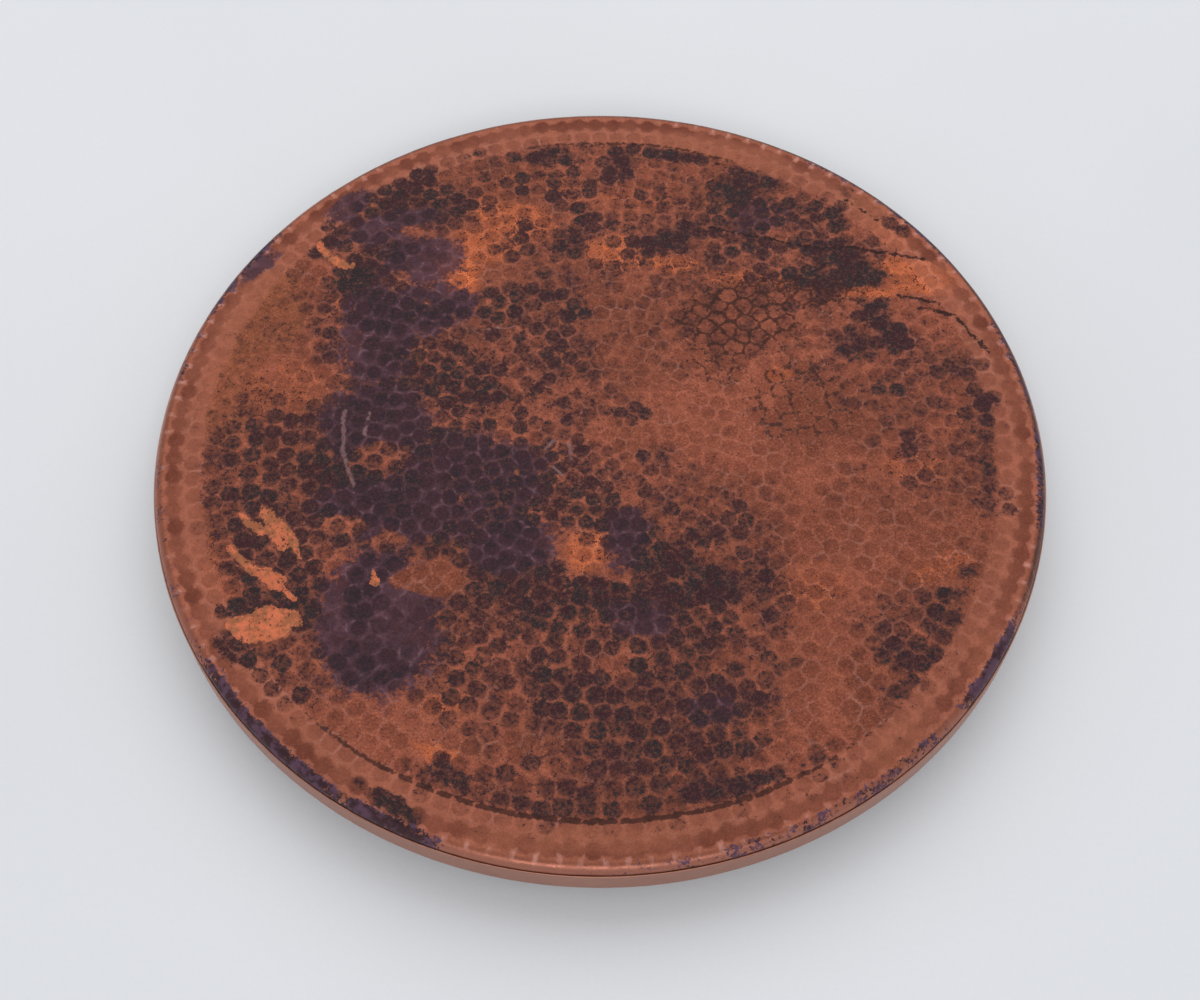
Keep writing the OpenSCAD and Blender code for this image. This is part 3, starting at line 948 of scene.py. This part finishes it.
def roll_colours(s, field, noise, colour):
    """The line where the fire stopped, then the roll: a painted highlight band, arcs of painted
    shade, stains and joint.
    """
    lined = s.step(s.add(field.line, s.times(noise.ragged, 0.25)), 0.30, 0.60)
    colour = s.mix(s.times(lined, 0.80), colour, fired(58, 38, 36))
    # painted highlight: a pale band along the roll
    roll_highlight = s.times(s.step(field.over, 0.10, 0.45), s.step(field.over, 0.75, 0.60), 0.5)
    colour = s.mix(roll_highlight, colour, fired(200, 136, 118))
    # painted shade on stretches of the roll
    roll_shaded = s.step(s.add(field.dull, s.times(noise.ragged, 0.4)), 0.25, 0.75)
    colour = s.mix(s.times(roll_shaded, 0.75), colour, fired(80, 58, 54))
    stained = s.add(field.stain, s.times(noise.patchy, 0.25), s.times(noise.ragged, 0.6))
    stained = s.step(stained, 0.50, 0.75)
    violet = s.mix(s.step(noise.blotch, -0.4, 0.6), fired(44, 36, 46), fired(92, 70, 92))
    colour = s.mix(s.times(stained, 0.9), colour, violet)
    joint = s.step(s.add(field.over, s.times(noise.ragged, 0.06)), 0.71, 0.78)
    return s.mix(s.times(joint, 0.5), colour, fired(96, 56, 40)), stained


def scraped_places(s, field, noise, colour):
    """Scrapes down to bright metal with dark pits, then dark cracks and pale scratches."""
    scraped = s.step(s.add(field.bare, s.times(noise.ragged, 0.55)), 0.56, 0.66)
    browner = s.step(s.add(noise.patchy, noise.blotch), -0.5, 0.5)
    bright = s.mix(browner, fired(212, 118, 84), fired(172, 108, 76))
    colour = s.mix(s.times(scraped, 0.95), colour, bright)
    pits = s.times(scraped, s.step(noise.speck, 0.6, 0.8), 0.7)
    colour = s.mix(pits, colour, fired(84, 50, 42))
    cracked = s.step(s.add(field.crack, s.times(noise.ragged, 0.45)), 0.45, 0.70)
    colour = s.mix(s.times(cracked, 0.9), colour, fired(50, 36, 36))
    scratched = s.step(s.add(field.scratch, s.times(noise.ragged, 0.30)), 0.45, 0.80)
    return s.mix(s.times(scratched, 0.40), colour, fired(176, 134, 134)), scraped


def hammered_copper():
    """The fire-coloured sheet. Soot, scale and stains are less metallic than scraped copper."""
    s = Shader("hammered_copper")
    field = SimpleNamespace(**{name: s.field(name) for name in SHEET_FIELDS})
    noise = sheet_noises(s)
    field.crest = s.step(field.ridge, 0.60, 0.98)
    field.hollow = bowl_floor(s, field, noise)

    colour = fired_ground(s, field, noise)
    colour = mark_shading(s, field, noise, colour)
    colour = fine_grain(s, field, noise, colour)
    colour, blackened = soot_cover(s, field, noise, colour)
    colour = ridge_web(s, field, noise, colour)
    colour, scale = purple_scale(s, field, noise, colour, blackened)
    colour, stained = roll_colours(s, field, noise, colour)
    colour, scraped = scraped_places(s, field, noise, colour)

    dark = s.times(s.top(s.top(blackened, scale), stained), s.less(1.0, scraped))
    gloss = s.add(s.step(noise.blotch, -0.8, 0.8, 0.42, 0.56), s.times(blackened, 0.05),
                  s.times(s.step(field.over, 0.0, 0.2), -0.10), s.times(stained, -0.10))
    normal = s.bump(s.add(s.times(noise.blotch, 0.25), s.times(noise.speck, 0.15)), 0.14 * MM)
    return s.finish(Base_Color=colour, Metallic=s.less(0.70, s.times(dark, 0.45)), Roughness=gloss,
                    Specular_IOR_Level=0.08, Normal=normal)


# ---------- the other finishes ----------

def plain_copper():
    s = Shader("plain_copper")
    around = s.noise(40 * MM, 3)
    streak = s.noise(5 * MM, 4, 0.6, place=s.stretched(1, 1, 7))
    grain = s.noise(0.8 * MM, 2, 0.6)
    colour = s.mix(around, srgb(172, 120, 100), srgb(156, 102, 84))
    colour = s.mix(s.step(streak, 0.35, 0.7, 0, 0.5), colour, srgb(190, 142, 122))
    fleck = s.step(s.add(streak, s.times(grain, 0.6)), 1.0, 1.2, 0, 0.6)
    colour = s.mix(fleck, colour, srgb(84, 56, 50))
    gloss = s.step(streak, 0.2, 0.8, 0.34, 0.5)
    normal = s.bump(s.add(streak, s.times(grain, 0.3)), 0.05 * MM)
    return s.finish(Base_Color=colour, Metallic=0.8, Roughness=gloss, Normal=normal)


def nail_copper():
    s = Shader("nail_copper")
    spot = s.noise(1.6 * MM, 3, 0.6)
    colour = s.mix(s.step(spot, 0.35, 0.7), srgb(170, 104, 80), srgb(96, 60, 52))
    normal = s.bump(spot, 0.08 * MM)
    gloss = s.step(spot, 0.2, 0.8, 0.3, 0.5)
    return s.finish(Base_Color=colour, Metallic=0.85, Roughness=gloss, Normal=normal)


def fibre_board():
    s = Shader("fibre_board")
    fluff = s.noise(6 * MM, 4, 0.6)
    fibre = s.noise(0.9 * MM, 3, 0.7, place=s.stretched(1, 0.25, 1))
    cross = s.noise(0.8 * MM, 3, 0.7, place=s.stretched(0.3, 1, 1, (0, 0, 0.9)))
    both = s.times(s.add(fibre, cross), 0.5)
    colour = s.mix(s.step(both, 0.38, 0.62), srgb(122, 90, 62), srgb(166, 130, 94))
    colour = s.mix(s.step(fluff, 0.4, 0.7, 0, 0.4), colour, srgb(110, 80, 56))
    normal = s.bump(both, 0.12 * MM)
    return s.finish(Base_Color=colour, Roughness=0.85, Normal=normal)


def base_wood():
    s = Shader("base_wood")
    wander = s.noise(0.09, 2, place=s.stretched(0.25, 1, 1))
    ripple = s.noise(0.02, 2, place=s.stretched(0.08, 1, 1))
    ring = s.math("SINE", s.times(s.add(s.times(wander, 9), ripple), 9))
    pores = s.noise(1.1 * MM, 3, 0.7, place=s.stretched(0.06, 1, 1))
    colour = s.mix(s.step(ring, -1, 1), srgb(104, 66, 42), srgb(134, 90, 58))
    colour = s.mix(s.step(pores, 0.5, 0.66, 0, 0.6), colour, srgb(62, 38, 26))
    normal = s.bump(s.add(s.times(pores, -1), s.times(ring, 0.05)), 0.08 * MM)
    return s.finish(Base_Color=colour, Roughness=s.step(pores, 0.3, 0.7, 0.38, 0.55), Normal=normal)


def metal(name, light, dark, gloss, streaky):
    """Plated or bare steel with soft blotches, fine scratches and a few dull spots."""
    s = Shader(name)
    blotch = s.noise(9 * MM, 4, 0.6)
    scratch = s.noise(0.7 * MM, 3, 0.7, place=s.stretched(1, streaky, 1))
    colour = s.mix(s.step(blotch, 0.35, 0.68), light, dark)
    colour = s.mix(s.step(scratch, 0.55, 0.75, 0, 0.35), colour, srgb(70, 68, 66))
    shine = s.add(s.step(blotch, 0.3, 0.7, gloss, gloss + 0.14), s.times(s.less(scratch, 0.5), 0.15))
    normal = s.bump(scratch, 0.02 * MM)
    return s.finish(Base_Color=colour, Metallic=1.0, Roughness=shine, Normal=normal)


def foot_rubber():
    s = Shader("foot_rubber")
    dust = s.noise(5 * MM, 4, 0.65)
    pits = s.noise(0.5 * MM, 2, 0.6)
    colour = s.mix(s.step(dust, 0.45, 0.75), srgb(34, 33, 32), srgb(70, 67, 63))
    normal = s.bump(pits, 0.06 * MM)
    return s.finish(Base_Color=colour, Roughness=s.step(dust, 0.3, 0.8, 0.62, 0.85), Normal=normal)


def floor_paper():
    s = Shader("floor_paper")
    cloud = s.noise(0.5, 3)
    fleck = s.noise(2.5 * MM, 3, 0.7)
    colour = s.mix(s.step(cloud, 0.3, 0.7), (0.70, 0.705, 0.72, 1), (0.73, 0.735, 0.75, 1))
    colour = s.mix(s.step(fleck, 0.3, 0.8, 0, 0.12), colour, (0.62, 0.62, 0.63, 1))
    return s.finish(Base_Color=colour, Roughness=0.75, Normal=s.bump(fleck, 0.05 * MM))


# ---------- put together ----------

finishes = {
    "hammered_copper": hammered_copper(),
    "plain_copper": plain_copper(),
    "nail_copper": nail_copper(),
    "fibre_board": fibre_board(),
    "base_wood": base_wood(),
    "plated_steel": metal("plated_steel", srgb(196, 194, 184), srgb(164, 160, 150), 0.34, 0.2),
    "screw_steel": metal("screw_steel", srgb(190, 186, 172), srgb(150, 144, 128), 0.28, 1.0),
    "cage_steel": metal("cage_steel", srgb(150, 146, 138), srgb(112, 108, 102), 0.40, 0.5),
    "ball_steel": metal("ball_steel", srgb(210, 210, 208), srgb(188, 188, 188), 0.14, 1.0),
    "foot_rubber": foot_rubber(),
}

for part in frame["record"]["subparts"]:
    shown = frame["nodes"][part["node"]]
    shown.data.materials.clear()
    shown.data.materials.append(finishes[part["material_slot"]])

sheet = hammered_sheet()
sheet.data.materials.append(finishes["hammered_copper"])
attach(sheet, "turntable")
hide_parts("copper_top")

strip = edge_strip()
strip.data.materials.append(finishes["plain_copper"])
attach(strip, "turntable")
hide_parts("edge_band")


# ---------- floor, light and camera ----------

def paper_floor():
    corners = floor_half * np.array([(-1, -1, 0), (1, -1, 0), (1, 1, 0), (-1, 1, 0)])
    made = new_mesh("paper_floor", corners, [(0, 1, 2, 3)])
    made.data.materials.append(floor_paper())


def area_light(name, place, size, power, colour):
    """Soft box aimed at the middle of the floor."""
    data = bpy.data.lights.new(name, "AREA")
    data.shape = "RECTANGLE"
    data.size, data.size_y = size
    data.energy = power
    data.color = colour
    made = bpy.data.objects.new(name, data)
    made.location = place
    made.rotation_euler = (-Vector(place)).to_track_quat("-Z", "Y").to_euler()
    bpy.context.scene.collection.objects.link(made)


def room_light(strength):
    world = bpy.data.worlds.new("room")
    world.use_nodes = True
    ground = world.node_tree.nodes["Background"]
    ground.inputs["Color"].default_value = (0.93, 0.96, 1.0, 1)
    ground.inputs["Strength"].default_value = strength
    bpy.context.scene.world = world


def camera():
    """Looks along +Y and down, from about arm's length."""
    away = camera_distance * math.cos(camera_rise)
    above = camera_distance * math.sin(camera_rise)
    data = bpy.data.cameras.new("camera")
    data.lens = 50
    data.sensor_width = 36
    data.clip_start = 0.05
    data.clip_end = 20
    made = bpy.data.objects.new("camera", data)
    made.location = (0, -away, top_z + above)
    made.rotation_euler = (math.pi / 2 - camera_tilt, 0, 0)
    bpy.context.scene.collection.objects.link(made)
    bpy.context.scene.camera = made


paper_floor()
room_light(room_strength)
area_light("overhead", overhead_place, overhead_size, overhead_power, (1, 0.985, 0.97))
area_light("front", front_place, front_size, front_power, (0.95, 0.975, 1))
camera()
bpy.context.scene.view_settings.view_transform = "Standard"
